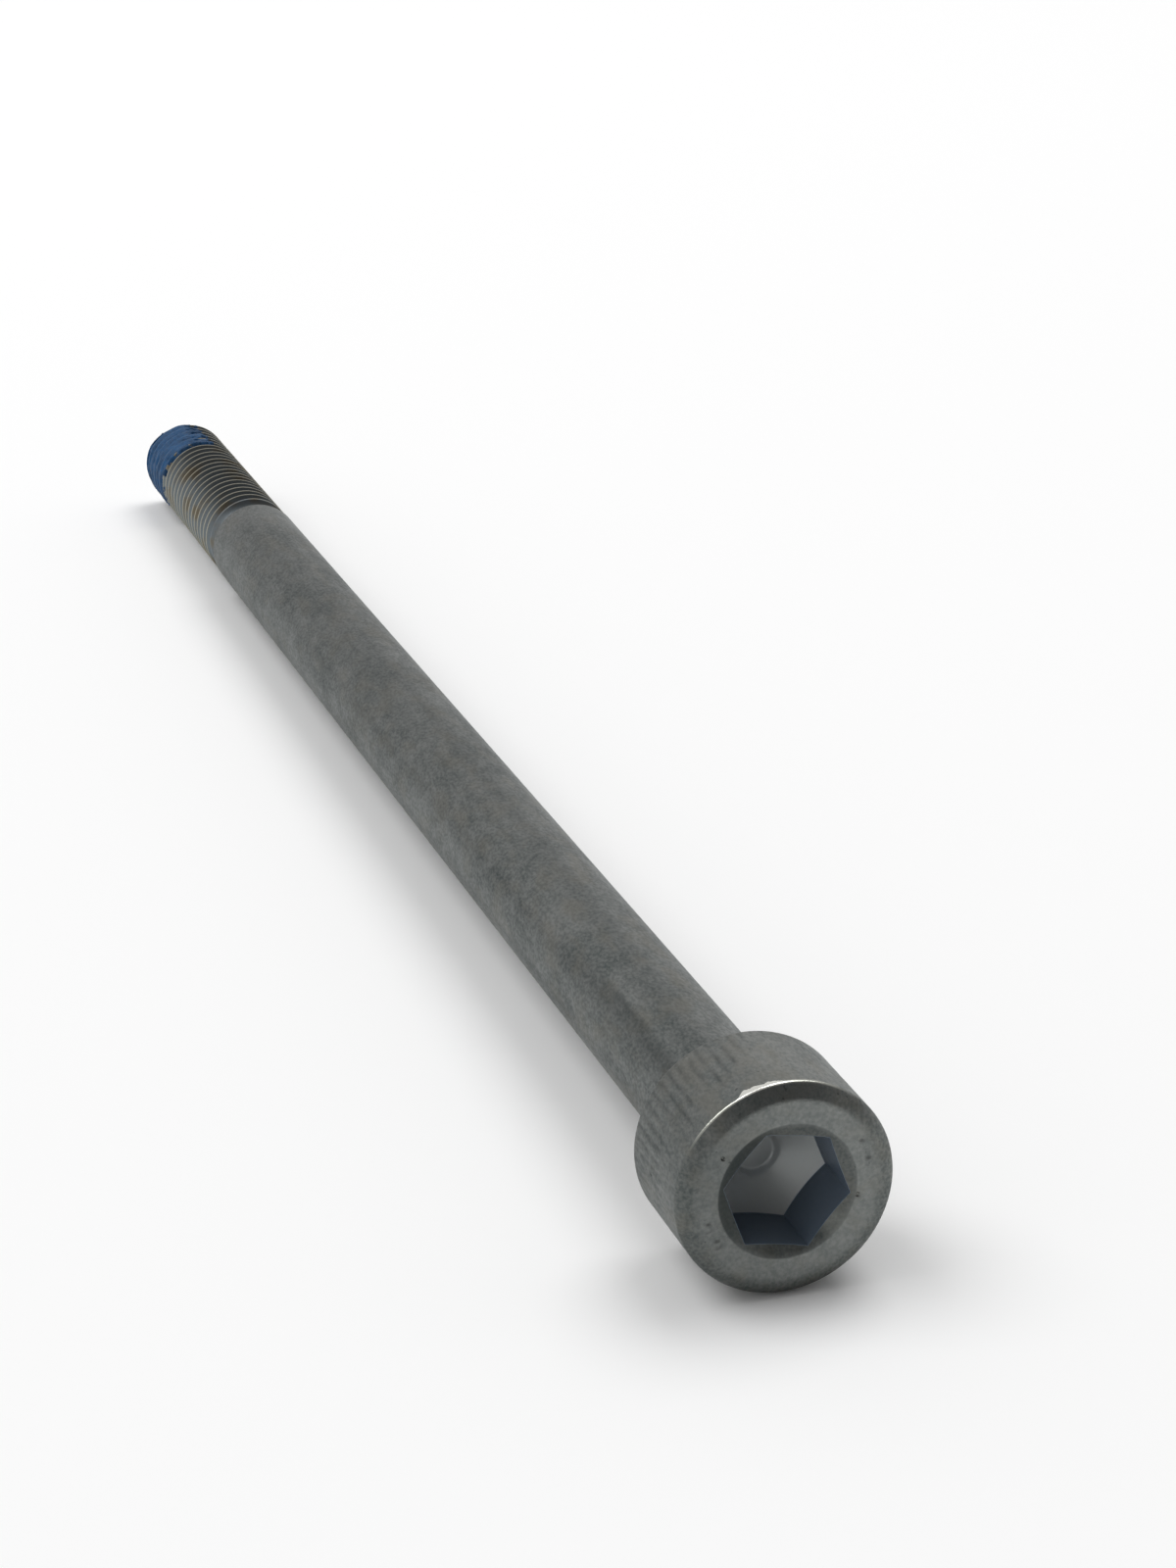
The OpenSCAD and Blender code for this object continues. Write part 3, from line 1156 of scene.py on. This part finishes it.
        # Painted glints on the flanks
        colour = steel.paint(colour, self.flank, threaded,
                             (steel.radius, (s.root_r + 0.1) * MM, (s.root_r + 0.2) * MM),
                             (steel.mottling(self.glint_w, 3.0, seed=7.0), 0.5, 0.62, 0.0, 0.7))
        # Painted highlights on the crests
        return steel.paint(colour, self.glint, threaded,
                           (steel.radius, (s.crest_r - 0.05) * MM, (s.crest_r - 0.01) * MM), 0.7)

    def build(self) -> bpy.types.Material:
        """Makes the material.

        Returns:
            The coating.
        """
        s = self.sizes
        steel = ScrewFinish("zinc_flake_coated_steel")
        on_shank = steel.mask((steel.along, -0.1 * MM, 0.5 * MM))
        outside = steel.mask((steel.radius, (s.head_r - 0.25) * MM, (s.head_r - 0.13) * MM))
        threaded = steel.mask((steel.along, (s.blank_y + 0.1) * MM, (s.blank_y + 0.5) * MM))
        zones = self.socket_zones(steel)
        worn = self.rim_wear_and_highlight(steel, outside)

        # Mottling of the tumbled coating, from broad clouds to its grain
        clouds = steel.mask((steel.mottling(self.cloud_w, 3.0, 0.6, 1.0), 0.36, 0.64))
        spots = steel.mask((steel.mottling(self.spot_w, 4.0, 0.55, 13.0), 0.35, 0.65))
        grain = steel.mottling(self.grain_w, 3.0, 0.6, 2.0)
        tone = steel.add(MIX, NUMBERS, {0: 0.5, 2: clouds, 3: spots})
        tone = steel.add(MIX, NUMBERS, {0: 0.45, 2: tone, 3: steel.mask((grain, 0.38, 0.62))})

        colour = self.coat(steel, tone, on_shank)
        colour = self.shank_marks(steel, colour, on_shank)
        colour = self.knurl_groove_darkening(steel, colour, outside)
        colour = self.socket_colours(steel, colour, zones)
        # Painted highlight: the worn rim turns near white round the top
        painted_highlight = steel.paint(srgb(self.worn), self.bright, steel.toward(-13, 8, 12))
        colour = steel.add(MIX, COLOURS, {0: worn, 6: colour, 7: painted_highlight})
        colour = self.thread_colours(steel, colour, threaded)

        # The film in the socket hides the metal under it
        film = steel.add(MATH, MAXIMUM, [steel.mask(zones.walls, 0.85), steel.mask(zones.floor, 0.65)])
        metallic = steel.add(MATH, SUBTRACT, [1.0, film])
        rough = steel.mask((tone, 0.0, 1.0, self.rough + 0.07, self.rough - 0.07))
        for zone, level in ((threaded, self.thread_rough), (zones.inside, self.socket_rough),
                            (worn, self.worn_rough)):
            rough = steel.add(MIX, NUMBERS, {0: zone, 2: rough, 3: level})
        smooth = steel.add(MATH, MAXIMUM, [threaded, zones.inside])
        grainy = steel.add("ShaderNodeBump", None, {"Strength": steel.mask((smooth, 0.0, 1.0, 0.8, 0.3)),
                                                    "Distance": self.grain_depth * MM, "Height": grain})
        dented = steel.add("ShaderNodeBump", None, {"Strength": 0.5, "Distance": self.dent_depth * MM,
                                                    "Height": steel.mottling(self.dent_w, seed=8.0),
                                                    "Normal": grainy})
        return steel.finish({"Base Color": colour, "Metallic": metallic, "Roughness": rough,
                             "Normal": dented})


@dataclass(frozen=True)
class NylonPatch:
    """Sprayed and fused blue polyamide: a grainy satin film."""

    light: str = "16507F"
    dark: str = "0F304E"
    cloud_w: float = 1.25
    grain_w: float = 5 / 26
    grain_depth: float = 0.02
    rough: float = 0.5
    ior: float = 1.53
    shine: float = 0.25

    def build(self) -> bpy.types.Material:
        """Makes the material.

        Returns:
            The coating.
        """
        nylon = Finish("fused_nylon_patch")
        grain = nylon.mottling(self.grain_w, 2.0, seed=2.0)
        clouds = nylon.mask((nylon.mottling(self.cloud_w, 3.0, seed=1.0), 0.35, 0.65))
        tone = nylon.add(MIX, NUMBERS, {0: 0.5, 2: clouds, 3: nylon.mask((grain, 0.3, 0.7))})
        colour = nylon.paint(srgb(self.dark), self.light, tone)
        grainy = nylon.add("ShaderNodeBump", None, {"Strength": 0.6, "Distance": self.grain_depth * MM,
                                                    "Height": grain})
        return nylon.finish({"Base Color": colour, "Roughness": self.rough, "IOR": self.ior,
                             "Specular IOR Level": self.shine, "Normal": grainy})


@dataclass(frozen=True)
class MatteBoard:
    """White board without a shine, darker where the steel mirrors it."""

    seen: str = "F9F9F9"
    mirrored: str = "DCDEDE"
    rough: float = 0.9

    def build(self) -> bpy.types.Material:
        """Makes the material.

        Returns:
            The board's surface.
        """
        board = Finish("matte_white_board")
        glossy = board.add("ShaderNodeLightPath").outputs["Is Glossy Ray"]
        colour = board.paint(srgb(self.seen), self.mirrored, glossy)
        return board.finish({"Base Color": colour, "Roughness": self.rough, "Specular IOR Level": 0.0})


@dataclass
class Studio:
    """A pale floor, a bright dome with a dim part behind the camera, two soft lamps and the camera."""

    floor_front: tuple[float, float] = (-0.2, -5.0)
    floor_slope: float = 0.98
    floor_reach: tuple[float, float, float] = (900.0, -700.0, 1600.0)
    sky_colour: str = "FAFAFA"
    dome_level: float = 0.64
    dim_level: float = 0.1
    dim_way: tuple[float, float, float] = (0.29, -0.76, 0.60)
    dim_edges: tuple[float, float] = (55.0, 25.0)
    lamp_power: float = 6.4
    lamp_size: float = 900.0
    lamp_places: tuple[tuple[float, float, float], ...] = ((500, 400, 1200), (-700, 300, 1100))
    lamp_aim: tuple[float, float, float] = (0.0, 50.0, 0.0)
    lens: float = 107.198
    place: tuple[float, float, float] = (-49.32, -130.98, 68.22)
    azimuth: float = 17.89
    elevation: float = 20.32

    def build_floor(self) -> None:
        """Lays the plain floor that the head's rim and the thread's end rest on."""
        front_y, front_z = self.floor_front
        rise = math.tan(math.radians(self.floor_slope))
        side, near, far = self.floor_reach
        corners = []
        for x, y in ((-side, near), (side, near), (side, far), (-side, far)):
            corners.append((x * MM, y * MM, (front_z + (y - front_y) * rise) * MM))
        mesh = bpy.data.meshes.new("board")
        mesh.from_pydata(corners, [], [(0, 1, 2, 3)])
        mesh.materials.append(MatteBoard().build())
        link_mesh("board", mesh)

    def build_world(self) -> None:
        """Makes the dome of light; the camera sees it as plain white."""
        world = bpy.data.worlds.new("dome")
        bpy.context.scene.world = world
        world.use_nodes = True
        dome = NodeTree(world.node_tree)
        ray = dome.add("ShaderNodeTexCoord").outputs["Generated"]
        facing = dome.add(VECTOR, DOT_PRODUCT, [ray, tuple(Vector(self.dim_way).normalized())])
        outer, inner = (math.cos(math.radians(edge)) for edge in self.dim_edges)
        level = dome.add(MAP_RANGE, SMOOTH,
                         [facing.outputs["Value"], outer, inner, self.dome_level, self.dim_level])
        seen = dome.add("ShaderNodeLightPath").outputs["Is Camera Ray"]
        strength = dome.add(MIX, NUMBERS, {0: seen, 2: level, 3: 1.0})
        sky = dome.add("ShaderNodeBackground", None,
                       {"Color": srgb(self.sky_colour), "Strength": strength})
        dome.add("ShaderNodeOutputWorld", inputs=[sky])

    def build_lamps(self) -> None:
        """Hangs two large soft lamps above the screw, one on each side."""
        for place in self.lamp_places:
            lamp = bpy.data.lights.new("soft_lamp", "AREA")
            lamp.shape, lamp.size, lamp.energy = "DISK", self.lamp_size * MM, self.lamp_power
            holder = bpy.data.objects.new("soft_lamp", lamp)
            bpy.context.scene.collection.objects.link(holder)
            holder.location = Vector(place) * MM
            aim = Vector(self.lamp_aim) * MM - holder.location
            holder.rotation_euler = aim.to_track_quat("-Z", "Y").to_euler()

    def build_camera(self) -> None:
        """Sets up the camera at the photo's angle, for a picture of 1200 by 1600."""
        view = bpy.data.cameras.new("photo_view")
        view.sensor_fit, view.sensor_width, view.lens = "HORIZONTAL", 36.0, self.lens
        view.clip_start, view.clip_end = 0.005, 10.0
        camera = bpy.data.objects.new("photo_view", view)
        bpy.context.scene.collection.objects.link(camera)
        camera.location = Vector(self.place) * MM
        camera.rotation_euler = Euler((math.radians(90 - self.elevation), 0.0, -math.radians(self.azimuth)))
        bpy.context.scene.camera = camera

    def build(self) -> None:
        """Builds the whole set."""
        self.build_floor()
        self.build_world()
        self.build_lamps()
        self.build_camera()


def join_steel(head: bpy.types.Object, thread: bpy.types.Object) -> None:
    """Fuses the threaded end into the head and shank and removes it.

    Args:
        head: The piece that stays.
        thread: The piece that goes into it.
    """
    fuse = head.modifiers.new("fuse", "BOOLEAN")
    fuse.operation, fuse.solver, fuse.object = "UNION", "MANIFOLD", thread
    run_modifiers(head)
    bpy.data.objects.remove(thread)
    tidy_mesh(head.data, 40)


def log_piece(piece: bpy.types.Object) -> None:
    """Writes a piece's triangles, open edges and volume to the log.

    Args:
        piece: The finished piece.
    """
    mesh = piece.data
    mesh.calc_loop_triangles()
    work = bmesh.new()
    work.from_mesh(mesh)
    open_edges = sum(not edge.is_manifold for edge in work.edges)
    LOG.info("%s: %d triangles, %d open edges, volume %.2f mm3", piece.name, len(mesh.loop_triangles),
             open_edges, work.calc_volume(signed=True) / MM ** 3)
    work.free()


def main() -> None:
    """Builds the screw, its coating and the set, in that order."""
    logging.basicConfig(level=logging.INFO, format="%(message)s")
    sizes = ScrewSizes.from_frame()
    steel = CoatedSteel(sizes).build()
    screw = HeadAndShank(sizes).build()
    Knurl(sizes).press(screw, steel)
    winding = Thread(sizes)
    thread = winding.build(steel)
    log_piece(thread)
    join_steel(screw, thread)
    screw.name = "cap_screw_steel"
    log_piece(screw)
    patch = LockingPatch(sizes).build(NylonPatch().build(), winding.start_y)
    log_piece(patch)
    for piece, node, slot in ((screw, "cap_screw", "coated_steel"), (patch, "locking_patch", "nylon_patch")):
        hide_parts(node)
        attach(piece, "root")
    Studio().build()
    scene = bpy.context.scene
    scene.view_settings.view_transform = "Standard"


if __name__ == "__main__":
    main()
